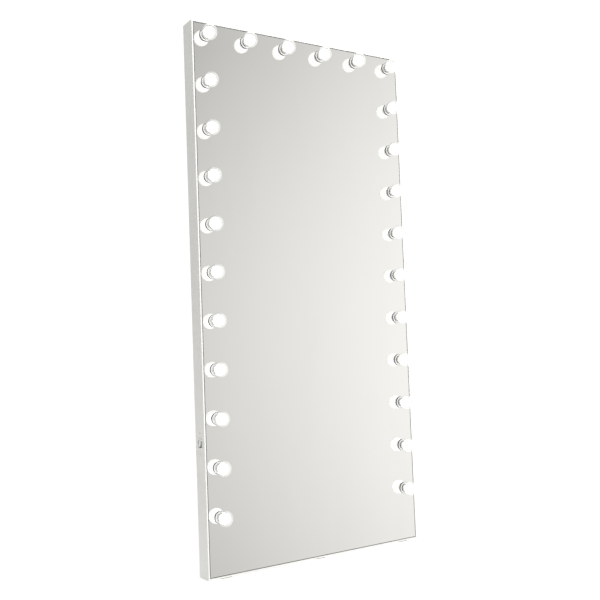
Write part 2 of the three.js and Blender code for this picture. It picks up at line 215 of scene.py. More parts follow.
def moulded(name, light, dark, low, high, grain=900, depth=0.00006, **sockets):
    """Moulded plastic or rubber: fine spark grain and slightly uneven colour"""
    look = Look(name, **sockets)
    look.two_tone(look.noise(35, 4, 0.6), dark, light)
    look.rough(look.noise(160, 4, 0.6), low, high)
    look.bump(look.noise(grain, 3, 0.6), 0.4, depth)
    return look.material


def metal(name, light, dark, low, high, stretch=(1, 1, 40), grain=260, strength=0.12):
    """Drawn or plated metal, with its fine lines along one axis"""
    look = Look(name, metallic=1.0)
    lines = look.noise(grain, 4, 0.65, space=look.stretched(stretch))
    tone = look.combined("ADD", lines, look.spread(look.noise(18, 3), 0.15))
    look.colours(tone, (0.25, dark), (0.75, light))
    look.rough(lines, low, high)
    look.bump(lines, strength, 0.00004)
    return look.material


WHITE_PAINT = powder_coat("white powder coat", (0.83, 0.825, 0.805), (0.79, 0.78, 0.755))
BACK_PAINT = powder_coat("back panel paint", (0.78, 0.78, 0.765), (0.73, 0.725, 0.70), peel=0.5)
WHITE_SCREW = powder_coat("painted screw head", (0.80, 0.80, 0.78), (0.70, 0.69, 0.67), peel=0.2)
CHROME = metal("chrome plate", (0.86, 0.865, 0.87), (0.80, 0.805, 0.81), 0.06, 0.12,
               stretch=(1, 1, 1), grain=90, strength=0.03)
ZINC = metal("zinc plated steel", (0.66, 0.67, 0.68), (0.50, 0.51, 0.53), 0.28, 0.45,
             stretch=(1, 1, 1), grain=140, strength=0.2)
# Painted shade for the inside of the screws' cross recesses, made as a dark metal
RECESS_SHADE = metal("painted shade in screw recess", (0.16, 0.16, 0.165), (0.09, 0.09, 0.095), 0.45, 0.6,
                  stretch=(1, 1, 1), grain=300)
LAMPHOLDER = metal("lampholder aluminium", (0.74, 0.745, 0.75), (0.60, 0.605, 0.61), 0.25, 0.4,
                   stretch=(40, 40, 1), grain=60)
NICKEL = metal("nickel screw cap", (0.72, 0.68, 0.60), (0.55, 0.51, 0.44), 0.2, 0.35,
               stretch=(1, 1, 1), grain=200)
BLACK_FOAM = moulded("closed cell foam", (0.050, 0.050, 0.051), (0.022, 0.022, 0.023), 0.8, 0.95,
                     grain=1400, depth=0.0003)
RING_RUBBER = moulded("collar ring rubber", (0.035, 0.035, 0.036), (0.020, 0.020, 0.021), 0.5, 0.7)
WHITE_PLASTIC = moulded("white plastic", (0.86, 0.86, 0.845), (0.81, 0.81, 0.79), 0.28, 0.40)
# Black plastic for the inlet; on the switch it also serves as painted shade in the well round the paddle
BLACK_PLASTIC_AND_SHADE = moulded("black plastic and painted shade", (0.028, 0.028, 0.030), (0.014, 0.014, 0.015), 0.38, 0.55)
GREY_PLASTIC = moulded("grey plastic", (0.50, 0.51, 0.515), (0.42, 0.43, 0.435), 0.42, 0.58)
WIRE_SLEEVE = moulded("braided wire sleeve", (0.060, 0.062, 0.066), (0.018, 0.019, 0.021), 0.5, 0.7,
                      grain=1600, depth=0.0004)
FOOT_RUBBER = moulded("foot rubber", (0.085, 0.085, 0.088), (0.045, 0.045, 0.048), 0.75, 0.95,
                      grain=600, depth=0.0003)


def hardboard():
    """Pressed wood fibre: brown, with short flat fibres"""
    look = Look("hardboard", specular_ior_level=0.25)
    fibres = look.noise(160, 6, 0.7, 1.2, space=look.stretched((1, 1, 3)))
    look.colours(fibres, (0.3, (0.13, 0.075, 0.038)), (0.5, (0.22, 0.135, 0.075)),
                 (0.72, (0.31, 0.21, 0.12)))
    look.rough(fibres, 0.65, 0.85)
    look.bump(fibres, 0.5, 0.0002)
    return look.material


def silvered_glass():
    """The mirror's face, silver seen through the glass, with the faintest haze of wiping"""
    look = Look("silvered glass", metallic=1.0, specular_ior_level=0.5)
    wipes = look.noise(5, 5, 0.6, 0.8, space=look.stretched((1, 1, 0.35)))
    look.two_tone(wipes, (0.854, 0.845, 0.824), (0.870, 0.861, 0.840))
    look.rough(wipes, 0.004, 0.012)
    return look.material


def glass_edge():
    """Ground and seamed edge of the sheet, green from its depth"""
    look = Look("ground glass edge", specular_ior_level=0.6)
    look.two_tone(look.noise(500, 3), (0.30, 0.325, 0.31), (0.41, 0.435, 0.42))
    look.rough(look.noise(300, 3), 0.2, 0.35)
    look.bump(look.noise(1200, 2), 0.2, 0.00005)
    return look.material


def mirror_back():
    """Grey protective paint behind the silver"""
    look = Look("mirror back paint")
    look.two_tone(look.noise(12, 4), (0.20, 0.215, 0.21), (0.25, 0.265, 0.26))
    look.rough(look.noise(80, 4), 0.55, 0.75)
    look.bump(look.noise(400, 3), 0.3, 0.0001)
    return look.material


def clear_glass():
    """Blown lamp glass, very slightly wavy, with a faint painted glow"""
    look = Look("clear lamp glass", transmission_weight=1.0, ior=1.46, roughness=0.0)
    look.shader.inputs["Base Color"].default_value = (0.985, 0.99, 0.985, 1)
    # Painted glow: the glass emits a little light of its own, standing in for the core's light caught in it
    look.shader.inputs["Emission Color"].default_value = (1.0, 1.0, 0.985, 1)
    look.shader.inputs["Emission Strength"].default_value = 0.045
    look.bump(look.noise(70, 2, 0.4), 0.08, 0.0002)
    return look.material


def light_guide(name, strength, tone):
    """Part of the lit optic inside a bulb; a lower tone gives it a darker base colour, which is painted shade
    """
    look = Look(name, roughness=0.35)
    look.shader.inputs["Emission Color"].default_value = (1.0, 0.985, 0.955, 1)
    look.shader.inputs["Emission Strength"].default_value = strength
    look.two_tone(look.noise(300, 2), (tone - 0.05,) * 3, (tone + 0.05,) * 3)
    look.bump(look.noise(500, 2), 0.2, 0.0001)
    return look.material


def phosphor():
    """A white light-emitting diode's yellow face"""
    look = Look("yellow phosphor", roughness=0.5)
    look.two_tone(look.noise(1500, 3), (0.78, 0.55, 0.12), (0.90, 0.70, 0.22))
    look.bump(look.noise(2500, 2), 0.3, 0.00005)
    return look.material


HARDBOARD = hardboard()
SILVER = silvered_glass()
GLASS_EDGE = glass_edge()
MIRROR_BACK = mirror_back()
LAMP_GLASS = clear_glass()
# The shoulder and stem glow less than the dome, and their darker base colours are painted shade that dims
# them
LIT_DOME = light_guide("lit dome", 1.2, 0.7)
LIT_SHOULDER = light_guide("lit shoulder", 0.6, 0.55)
LIT_STEM = light_guide("lit stem", 0.25, 0.4)
PHOSPHOR = phosphor()

# ---------------------------------------------------------------- mesh helpers

SMOOTH_ANGLE = math.radians(32)
SOFTENED_ANGLE = math.radians(30)
COPLANAR = math.radians(1)
FLAT = 0.999

# Points closer than this, in metres, count as one
SAME_POINT = 1e-6

# Sides of a turned piece or a circle
FINE_TURN = 48
PLAIN_TURN = 32
BORE_TURN = 24
CIRCLE_STEPS = 32

# Local z points to the row's -Y, so that a piece faces the front
TO_FACE_FRONT = Matrix.Rotation(math.radians(90), 4, "X")


def creased(mesh, materials):
    """Gives the mesh its materials and marks its sharp edges; flat faces stay flat"""
    numbers = [face.material_index for face in mesh.polygons]
    smooth = [face.use_smooth for face in mesh.polygons]
    mesh.materials.clear()
    for item in materials:
        mesh.materials.append(item)
    mesh.set_sharp_from_angle(angle=SMOOTH_ANGLE)
    mesh.polygons.foreach_set("material_index", numbers)
    mesh.polygons.foreach_set("use_smooth", smooth)


def finished(name, mesh, materials):
    """A linked object with these materials"""
    creased(mesh, materials)
    thing = bpy.data.objects.new(name, mesh)
    scene.collection.objects.link(thing)
    return thing


def piece(thing, replaces=(), body="cabinet"):
    """Says what the object is to the frame: the body it rides on and the nodes it stands for"""
    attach(thing, body)
    if replaces:
        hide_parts(*replaces)


def mesh_from(name, bm):
    mesh = bpy.data.meshes.new(name)
    bm.to_mesh(mesh)
    bm.free()
    return mesh


def rounded_edges(bm, edges, width, segments):
    """Bevels these edges with smooth rounds, and leaves the other faces flat"""
    for face in bm.faces:
        face.smooth = False
    made = bmesh.ops.bevel(bm, geom=edges, offset=width * MM, segments=segments, profile=0.5,
                           affect="EDGES", clamp_overlap=True)
    for face in made["faces"]:
        face.smooth = True


def evaluated(thing):
    """The object's mesh with its modifiers applied"""
    graph = bpy.context.evaluated_depsgraph_get()
    return bpy.data.meshes.new_from_object(thing.evaluated_get(graph))


def cut(base, tools):
    """The base mesh with each tool mesh cut out of it"""
    host = bpy.data.objects.new("host", base)
    scene.collection.objects.link(host)
    helpers = []
    for tool in tools:
        helper = bpy.data.objects.new("tool", tool)
        scene.collection.objects.link(helper)
        helpers.append(helper)
        step = host.modifiers.new("step", "BOOLEAN")
        step.operation = "DIFFERENCE"
        step.solver = "EXACT"
        step.object = helper
    result = evaluated(host)
    for helper in [host, *helpers]:
        bpy.data.objects.remove(helper)
    return result


def turned(name, profile, segments, lobes=None, faces=None):
    """A closed body turned about local z from its (radius, height) profile in mm; radius 0 ends on the axis.
    lobes(angle, index) scales each radius, and faces(index) gives the material of each band."""
    bm = bmesh.new()
    rings = []
    for index, (radius, height) in enumerate(profile):
        if radius == 0:
            rings.append([bm.verts.new((0, 0, height * MM))])
            continue
        ring = []
        for step in range(segments):
            angle = 2 * math.pi * step / segments
            scale = lobes(angle, index) if lobes else 1
            ring.append(bm.verts.new((
                radius * scale * MM * math.cos(angle),
                radius * scale * MM * math.sin(angle),
                height * MM,
            )))
        rings.append(ring)
    closed = profile[0][0] != 0
    following = rings[1:] + rings[:1] if closed else rings[1:]
    for index, (a, b) in enumerate(zip(rings, following)):
        for step in range(segments):
            after = (step + 1) % segments
            corners = [a[step % len(a)], a[after % len(a)], b[after % len(b)], b[step % len(b)]]
            corners = list(dict.fromkeys(corners))
            if len(corners) > 2:
                face = bm.faces.new(corners)
                face.smooth = True
                face.material_index = faces(index) if faces else 0
    bmesh.ops.recalc_face_normals(bm, faces=bm.faces)
    return mesh_from(name, bm)


def block(low, high, bevel=0.0, segments=2, matrix=None):
    """A box between two corners in mm, with rounded edges"""
    bm = bmesh.new()
    bmesh.ops.create_cube(bm, size=1)
    for vert in bm.verts:
        for axis in range(3):
            vert.co[axis] = (low[axis] if vert.co[axis] < 0 else high[axis]) * MM
    if bevel:
        rounded_edges(bm, list(bm.edges), bevel, segments)
    mesh = mesh_from("block", bm)
    if matrix is not None:
        mesh.transform(matrix)
    return mesh


def joined(name, meshes):
    """One mesh from several closed ones, keeping their material numbers"""
    bm = bmesh.new()
    for mesh in meshes:
        bm.from_mesh(mesh)
    return mesh_from(name, bm)


def painted(mesh, index):
    for face in mesh.polygons:
        face.material_index = index
    return mesh


def rounded(width, height, radius, centre=(0, 0), steps=6):
    """A rectangle's outline with round corners, as points in mm"""
    points = []
    for corner in range(4):
        sx, sy = ((1, 1), (-1, 1), (-1, -1), (1, -1))[corner]
        middle = (centre[0] + sx * (width / 2 - radius), centre[1] + sy * (height / 2 - radius))
        for step in range(steps + 1):
            angle = math.pi / 2 * (corner + step / steps)
            points.append((middle[0] + radius * math.cos(angle), middle[1] + radius * math.sin(angle)))
    return points


def circle(x, y, radius):
    angles = [2 * math.pi * i / CIRCLE_STEPS for i in range(CIRCLE_STEPS)]
    return [(x + radius * math.cos(angle), y + radius * math.sin(angle)) for angle in angles]


def sheet(loops, thickness, bevel=0.0, segments=1):
    """A flat plate centred on local z, from its outline and its holes in mm, with eased edges"""
    curve = bpy.data.curves.new("sheet", "CURVE")
    curve.dimensions = "2D"
    curve.fill_mode = "BOTH"
    curve.extrude = (thickness / 2 - bevel) * MM
    curve.bevel_depth = bevel * MM
    curve.bevel_resolution = segments
    curve.offset = -bevel * MM
    for loop in loops:
        spline = curve.splines.new("POLY")
        spline.points.add(len(loop) - 1)
        for point, (x, y) in zip(spline.points, loop):
            point.co = (x * MM, y * MM, 0, 1)
        spline.use_cyclic_u = True
    holder = bpy.data.objects.new("sheet", curve)
    scene.collection.objects.link(holder)
    mesh = evaluated(holder)
    bpy.data.objects.remove(holder)
    bm = bmesh.new()
    bm.from_mesh(mesh)
    bmesh.ops.remove_doubles(bm, verts=bm.verts, dist=SAME_POINT)
    bmesh.ops.recalc_face_normals(bm, faces=bm.faces)
    for face in bm.faces:
        face.material_index = 0
        face.smooth = abs(face.normal.z) < FLAT
    return mesh_from("sheet", bm)


def upright(mesh, front, back):
    """Stands a sheet up in the row frame, between two depths in mm behind the front face"""
    middle = place(0, (front + back) / 2, 0)
    mesh.transform(Matrix.Translation(middle) @ TO_FACE_FRONT)
    return mesh


def slab(loops, front, back):
    """An upright plate that fills the way between two depths"""
    return upright(sheet(loops, back - front), front, back)


def merged(node):
    """A CAD node's mesh, ready to edit, with its flats merged"""
    bm = bmesh.new()
    bm.from_mesh(nodes[node].data)
    bmesh.ops.remove_doubles(bm, verts=bm.verts, dist=SAME_POINT)
    bmesh.ops.dissolve_limit(bm, angle_limit=COPLANAR, verts=bm.verts, edges=bm.edges)
    return bm


def sharp_edges(bm, angle):
    return [e for e in bm.edges if len(e.link_faces) == 2 and e.calc_face_angle(0) > angle]


def softened(node, width):
    """A copy of a CAD node's mesh with its edges rounded by width mm"""
    bm = merged(node)
    rounded_edges(bm, sharp_edges(bm, SOFTENED_ANGLE), width, 2)
    return mesh_from(node + "_soft", bm)


def dress(node, material):
    """Gives a carried-over CAD node its finish"""
    mesh = nodes[node].data
    mesh.materials.clear()
    mesh.materials.append(material)


# ---------------------------------------------------------------- frame bars

SHEET = 1.6
LIP = 5.2
LEDGE_FRONT = 7.6
LEDGE_END = 22
FLANGE_BACK = 63
FLANGE_END = 18
MITRE_GAP = 0.15
ARC_STEPS = 4
LONGEST_ARC_SIDE = 0.6


def eased(points, radii):
    """The closed outline with arcs of the given radii at its corners, 0 for a sharp one"""
    result = []
    count = len(points)
    for i, (corner, radius) in enumerate(zip(points, radii)):
        here = Vector(corner)
        if not radius:
            result.append(here)
            continue
        before = (Vector(points[i - 1]) - here).normalized() * radius
        after = (Vector(points[(i + 1) % count]) - here).normalized() * radius
        middle = here + before + after
        for step in range(ARC_STEPS + 1):
            angle = math.pi / 2 * step / ARC_STEPS
            result.append(middle - after * math.cos(angle) - before * math.sin(angle))
    return result


BAR_SECTION = eased(
    [
        (0, 0), (LIP, 0), (LIP, LEDGE_FRONT), (LEDGE_END, LEDGE_FRONT),
        (LEDGE_END, LEDGE_FRONT + SHEET), (LIP - SHEET, LEDGE_FRONT + SHEET), (LIP - SHEET, SHEET),
        (SHEET, SHEET), (SHEET, FLANGE_BACK - SHEET), (FLANGE_END, FLANGE_BACK - SHEET),
        (FLANGE_END, FLANGE_BACK), (SHEET, FLANGE_BACK), (SHEET, DEPTH), (0, DEPTH),
    ],
    [1.1, 0.7, 0.5, 0.5, 0.5, 0, 0, 0, 0, 0.5, 0.5, 0, 0.5, 0.5],
)


def bar(name, length, turn):
    """One frame bar, mitred at both ends; turn puts its inward and lengthwise measures in place"""
    bm = bmesh.new()
    ends = []
    for far in (False, True):
        ring = []
        for inward, depth in BAR_SECTION:
            along = inward + MITRE_GAP
            along = length - along if far else along
            x, z = turn(inward, along)
            ring.append(bm.verts.new(place(x, depth, z)))
        ends.append(ring)
    count = len(BAR_SECTION)
    for i in range(count):
        after = (i + 1) % count
        side = bm.faces.new((ends[0][i], ends[0][after], ends[1][after], ends[1][i]))
        side.smooth = (BAR_SECTION[i] - BAR_SECTION[after]).length < LONGEST_ARC_SIDE
    bm.faces.new(ends[0])
    bm.faces.new(ends[1][::-1])
    bmesh.ops.recalc_face_normals(bm, faces=bm.faces)
    return mesh_from(name, bm)


HALF = WIDTH / 2
BAR_TURNS = {
    "left_stile": (HEIGHT, lambda u, s: (u - HALF, s)),
    "bottom_rail": (WIDTH, lambda u, s: (HALF - s, u)),
    "right_stile": (HEIGHT, lambda u, s: (HALF - u, HEIGHT - s)),
    "top_rail": (WIDTH, lambda u, s: (s - HALF, HEIGHT - u)),
}

SWITCH_V = 30.5
SWITCH_Z = 431.5
SWITCH_OPENING = (25.4, 25.8, 0.8)
SWITCH_SCREWS = 33.5
SWITCH_SCREW_HOLE = 2.1
SWITCH_SCREW_GAP = 0.05
SWITCH_SCREW_TURN = 0.4
WALL_CUTTER = 8

# Turns a sheet's local x, y and z to the row's -Y, Z and -X, so that it faces away from the left side
TO_FACE_LEFT = Matrix(((0, 0, -1, 0), (-1, 0, 0, 0), (0, 1, 0, 0), (0, 0, 0, 1)))


def on_side(out, along=0.0, height=0.0):
    """Puts a mesh on the switch's axis, out mm outwards from the left side face"""
    spot = place(-HALF - out, SWITCH_V - along, SWITCH_Z + height)
    return Matrix.Translation(spot) @ TO_FACE_LEFT


for name, (length, turn) in BAR_TURNS.items():
    mesh = bar(name + "_bar", length, turn)
    if name == "left_stile":
        tools = [sheet([rounded(*SWITCH_OPENING)], WALL_CUTTER)]
        tools[0].transform(on_side(0))
        for side in (-1, 1):
            hole = sheet([circle(0, 0, SWITCH_SCREW_HOLE)], WALL_CUTTER)
            hole.transform(on_side(0, height=side * SWITCH_SCREWS))
            tools.append(hole)
        mesh = cut(mesh, tools)
    piece(finished(name + "_bar", mesh, [WHITE_PAINT]), replaces=[name])

# ---------------------------------------------------------------- mirror

GLASS_INSET = 7.6
GLASS_FRONT = 1
GLASS_BACK = 5
GLASS_BEVEL = 0.5
HOLE_RADIUS = 16.6
FACE_ON = 0.99

# Where each bulb is, as x and z in mm
bulbs = {}
for name in sorted(nodes):
    if "_bulb_" in name:
        low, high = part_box(name)
        bulbs[name] = ((low.x + high.x) / 2 / MM, ((low.z + high.z) / 2 - BASE) / MM)

half_width = HALF - GLASS_INSET
outline = [
    (-half_width, GLASS_INSET), (half_width, GLASS_INSET),
    (half_width, HEIGHT - GLASS_INSET), (-half_width, HEIGHT - GLASS_INSET),
]
glass = sheet([outline, *(circle(x, z, HOLE_RADIUS) for x, z in bulbs.values())],
              GLASS_BACK - GLASS_FRONT, GLASS_BEVEL)
upright(glass, GLASS_FRONT, GLASS_BACK)
for face in glass.polygons:
    if face.normal.y < -FACE_ON:
        face.material_index = 0
    elif face.normal.y > FACE_ON:
        face.material_index = 2
    else:
        face.material_index = 1
piece(finished("mirror_sheet", glass, [SILVER, GLASS_EDGE, MIRROR_BACK]),
      replaces=["mirror_glass"])

# ---------------------------------------------------------------- lampholders and bulbs

# Outlines of turned pieces: radius, then height in front of the cabinet's front face
COLLAR_RING = [
    (15.5, 3.5), (15.9, 3.9), (16.4, 3.98), (17.4, 3.98), (17.8, 3.75), (18.2, 3.98), (19.6, 3.98),
    (20.6, 3.75), (21.2, 3.15), (21.3, 2.0), (21.3, 0.6), (15.5, 0.6),
]
RUBBER_RING = [(15.5, 0.6), (21.0, 0.6), (21.45, 0.3), (21.45, -0.7), (21.1, -0.97), (15.5, -0.97)]
NECK_SEAL = [(13.3, 3.3), (13.7, 3.85), (14.6, 3.95), (15.2, 3.7), (15.5, 3.3), (15.5, -0.97), (13.3, -0.97)]


def collar_mesh():
    ring = painted(turned("ring", COLLAR_RING, FINE_TURN), 0)
    rubbers = [painted(turned("rubber", profile, FINE_TURN), 1) for profile in (RUBBER_RING, NECK_SEAL)]
    return joined("collar", [ring, *rubbers])


GLOBE_RADIUS = 26.0
GLOBE_MIDDLE = 30.7
GLOBE_START = 14.4
GLOBE_STEPS = 16
GLOBE_NECK = [(12.85, 4.2), (12.85, 7.0), (13.1, 8.2)]
GLASS_WALL = 0.9


def dome(radius, middle, start, steps):
    """Points of a ball's outline, from where it is start mm away from the axis up to its tip"""
    first = math.asin(start / radius)
    points = []
    for step in range(steps + 1):
        angle = first + (math.pi - first) * step / steps
        points.append((0 if step == steps else radius * math.sin(angle), middle - radius * math.cos(angle)))
    return points


def globe_profile(offset):
    """The globe's outline from its foot to its tip, offset inwards"""
    neck = [(radius - offset, height) for radius, height in GLOBE_NECK]
    return neck + dome(GLOBE_RADIUS - offset, GLOBE_MIDDLE, GLOBE_START - offset, GLOBE_STEPS)


def globe_mesh():
    return turned("globe", globe_profile(GLASS_WALL)[::-1] + globe_profile(0), FINE_TURN)


CORE_STEM = [(0, 7.2), (5.5, 7.2), (5.8, 8.2), (7.5, 9.6), (11.5, 11.4)]
CORE_RADIUS = 18.4
CORE_MIDDLE = 27.0
CORE_START = 13.2
CORE_STEPS = 12
STEM_BANDS = 4
SHOULDER_BANDS = 6
FLUTES = 8
FLUTE_DEPTH = 0.055


def core_mesh():
    """The lit optic: a stem that opens into a fluted dome"""
    profile = CORE_STEM + dome(CORE_RADIUS, CORE_MIDDLE, CORE_START, CORE_STEPS)
    first = len(CORE_STEM) - 2
    last = len(profile) - 1

    def lobes(angle, index):
        share = max(0.0, math.sin(math.pi * (index - first) / (last - first))) if index > first else 0.0
        return 1 + FLUTE_DEPTH * share * math.cos(FLUTES * angle)

    def band(index):
        """0 for the dome, 1 for its shoulder and 2 for the stem"""
        return 2 if index < STEM_BANDS else 1 if index < SHOULDER_BANDS else 0

    return turned("core", profile, FINE_TURN, lobes=lobes, faces=band)


DIODES = 10
DIODE_RING = 8.8
DIODE_HEIGHT = 6.55
DIODE_HALF = (1.2, 1.1, 0.3)
THREADS = 6
THREAD_START = -4.4
THREAD_PITCH = 2.1


def base_mesh():
    """White housing round the neck, diode board inside it, and screw cap behind"""
    cup = [
        (0, -3.5), (12.6, -3.5), (13.1, -3.0), (13.1, 1.0), (12.7, 1.4), (12.7, 2.0), (13.1, 2.4),
        (13.1, 7.2), (13.02, 7.6), (12.9, 7.6), (12.9, 4.0), (11.7, 4.0), (11.7, 5.2), (0, 5.2),
    ]
    board = [(0, 5.22), (11.6, 5.22), (11.6, 6.2), (5.9, 6.2), (5.9, 7.0), (0, 7.0)]
    meshes = [painted(turned("cup", cup, FINE_TURN), 0), painted(turned("board", board, PLAIN_TURN), 1)]
    diode_low = [-half for half in DIODE_HALF]
    for step in range(DIODES):
        angle = 2 * math.pi * (step + 0.5) / DIODES
        middle = Vector((DIODE_RING, 0, DIODE_HEIGHT)) * MM
        spot = Matrix.Rotation(angle, 4, "Z") @ Matrix.Translation(middle)
        meshes.append(painted(block(diode_low, DIODE_HALF, 0.15, 1, spot), 2))
    cap = [(0, -3.52), (5.2, -3.52)]
    for thread in range(THREADS):
        height = THREAD_START - THREAD_PITCH * thread
        cap += [(5.4, height), (5.85, height - 0.6), (5.85, height - 1.0), (5.4, height - 1.6)]
    cap += [(5.0, -17.2), (3.6, -17.9), (2.2, -18.1), (1.9, -18.7), (0, -18.8)]
    meshes.append(painted(turned("cap", cap, PLAIN_TURN), 3))
    return joined("base", meshes)


collar_shape, globe_shape, core_shape, base_shape = collar_mesh(), globe_mesh(), core_mesh(), base_mesh()
# The diode board is given a painted glow: its emission stands in for the core's light falling on it
PAINTED_GLOW_BOARD = moulded("diode board", (0.80, 0.81, 0.80), (0.72, 0.73, 0.72), 0.4, 0.5, emission_strength=0.5)
BULB_PARTS = [
    ("globe", globe_shape, [LAMP_GLASS], "bulb_glass"),
    ("core", core_shape, [LIT_DOME, LIT_SHOULDER, LIT_STEM], "bulb_glass"),
    ("base", base_shape, [WHITE_PLASTIC, PAINTED_GLOW_BOARD, PHOSPHOR, NICKEL], "white_plastic"),
]
for _, mesh, materials, _ in BULB_PARTS:
    creased(mesh, materials)
creased(collar_shape, [CHROME, RING_RUBBER])

MOST_TILT = math.radians(0.5)
SPIN_STEP = 0.61

# The CAD rails hold their collars, which are pieces of their own here, so the rails are cut off behind them
COLLAR_CUT = ((-500, -10, -10), (500, 1.3, 1900))


def shared(name, mesh, matrix):
    thing = bpy.data.objects.new(name, mesh)
    thing.matrix_world = matrix
    scene.collection.objects.link(thing)
    return thing


def tilted(amount, axis):
    return Matrix.Rotation(max(-MOST_TILT, min(MOST_TILT, amount)), 4, axis)


for number, (name, (x, z)) in enumerate(bulbs.items()):
    spot = Matrix.Translation(place(x, 0, z)) @ TO_FACE_FRONT
    seat = Vector((number * 1.7, 3.1, 0.4))
    lean = Vector((noise.noise(seat), noise.noise(seat * 2.3), 0)) * 2 * MOST_TILT
    spin = Matrix.Rotation(number * SPIN_STEP, 4, "Z")
    bulb_spot = spot @ tilted(lean.x, "X") @ tilted(lean.y, "Y") @ spin
    collar = shared(name.replace("_bulb_", "_collar_"), collar_shape, spot)
    piece(collar)
    for part, mesh, _, slot in BULB_PARTS:
        thing = shared(f"{name}_{part}", mesh, bulb_spot)
        piece(thing, replaces=[name] if part == "globe" else ())
        if part == "globe":
            thing.visible_shadow = False

for side in ("left", "right", "top"):
    node = f"{side}_lampholder_rail"
    front = block(*COLLAR_CUT, matrix=Matrix.Translation(place(0, 0, 0)))
    copy = nodes[node].data.copy()
    copy.materials.clear()
    rail = cut(copy, [front])
    piece(finished(f"{side}_lampholder_channel", rail, [LAMPHOLDER]),
          replaces=[node])

# ---------------------------------------------------------------- screws


CROSS_REACH = 0.62
CROSS_ARM = 0.11
WALL_TILT = 0.3


def screw_mesh(radius, height, domed=True, depth=0.9):
    """A screw's head with a cross recess, its underside at local z 0; the recess's walls and floor are
    painted dark as shade
    """
    if domed:
        profile = [
            (0, 0), (radius * 0.94, 0), (radius, height * 0.12), (radius * 0.97, height * 0.4),
            (radius * 0.82, height * 0.72), (radius * 0.55, height * 0.93), (0, height),
        ]
    else:
        profile = [(0, 0), (radius * 0.9, 0), (radius, height * 0.5), (radius * 0.96, height), (0, height)]
    head = painted(turned("head", profile, PLAIN_TURN), 0)
    reach = radius * CROSS_REACH
    arm = radius * CROSS_ARM
    bottom = height - depth
    tools = []
    for turn in (0, math.pi / 2):
        spot = Matrix.Rotation(turn, 4, "Z")
        tools.append(painted(block((-reach, -arm, bottom), (reach, arm, height + 1), matrix=spot), 0))
    mesh = cut(head, tools)
    low = (height - depth * 0.98) * MM
    # The cross recess's walls and floor take the second material, a dark painted shade
    for face in mesh.polygons:
        in_cross = face.center.z > low * 0.5 and Vector(face.center.xy).length < reach * MM
        is_wall = in_cross and abs(face.normal.z) < WALL_TILT
        is_bottom = abs(face.center.z - bottom * MM) < SAME_POINT
        if is_wall or is_bottom:
            face.material_index = 1
    return mesh


PAN_HEAD = screw_mesh(3.2, 1.5)
PANEL_HEAD = screw_mesh(3.6, 1.7)
FLAT_HEAD = screw_mesh(2.45, 1.4, domed=False, depth=0.8)
for mesh, finish in ((PAN_HEAD, WHITE_SCREW), (PANEL_HEAD, ZINC), (FLAT_HEAD, ZINC)):
    creased(mesh, [finish, RECESS_SHADE])

# ---------------------------------------------------------------- switch

BEZEL = (30, 32, 3)
BEZEL_OPENING = (26.4, 22.0, 1.6)
INNER_FRAME = (26.6, 23.6, 1.6)
WELL = (24.8, 25.2, 0.8)
WELL_OPENING = (21.4, 21.8, 1.2)
PIVOT_IN = 4
PIVOT_BORE = 1.8
PIVOT_REACH = 12

# Thickness, then how far the middle lies outwards from the left side face
BEZEL_DEPTH = (2.0, 1.3)
INNER_FRAME_DEPTH = (1.6, 1.1)
WELL_DEPTH = (13.0, -5.9)
WELL_FLOOR_DEPTH = (7.6, -16.2)

TAB_LOW = (-3.15, -0.4, -27.5)
TAB_HIGH = (3.15, 0.4, -19.9)
TAB_HEIGHTS = (-7, 0, 7)


def on_switch_axis(outlines, thickness, out, bevel=0.0, segments=1):
    """A flat piece on the switch's axis, its middle out mm outwards from the left side face"""
    mesh = sheet([rounded(*outline) for outline in outlines], thickness, bevel, segments)
    mesh.transform(on_side(out))
    return mesh


def housing_mesh():
    """Bezel, inner frame, well with holes for the rocker's pins, the well's floor and three tabs behind it;
    the inner frame, well and floor are dark, as painted shade in the gaps round the paddle
    """
    bezel = on_switch_axis([BEZEL, BEZEL_OPENING], *BEZEL_DEPTH, 0.45, 2)
    inner_frame = on_switch_axis([INNER_FRAME, WELL_OPENING], *INNER_FRAME_DEPTH, 0.2)
    well = on_switch_axis([WELL, WELL_OPENING], *WELL_DEPTH)
    low, high = (PIVOT_BORE, -PIVOT_REACH), (PIVOT_BORE, PIVOT_REACH)
    pivot_bore = turned("pivot_bore", [(0, -PIVOT_REACH), low, high, (0, PIVOT_REACH)], BORE_TURN)
    pivot_bore.transform(on_side(-PIVOT_IN) @ Matrix.Rotation(math.radians(90), 4, "Y"))
    shaded_parts = [inner_frame, cut(well, [pivot_bore]), on_switch_axis([WELL], *WELL_FLOOR_DEPTH)]
    tabs = [block(TAB_LOW, TAB_HIGH, 0.1, 1, on_side(0, height=height)) for height in TAB_HEIGHTS]
    return joined("housing", [painted(bezel, 0), *[painted(mesh, 1) for mesh in shaded_parts],
                              *[painted(tab, 2) for tab in tabs]])


piece(finished("switch_body", housing_mesh(), [WHITE_PLASTIC, BLACK_PLASTIC_AND_SHADE, ZINC]),
      replaces=["switch_housing"])

PADDLE_FRONT = 0.9
PADDLE_WHITE = 0.5
PADDLE_SHARP = math.radians(40)
HOLLOW_WIDTH = 5.5


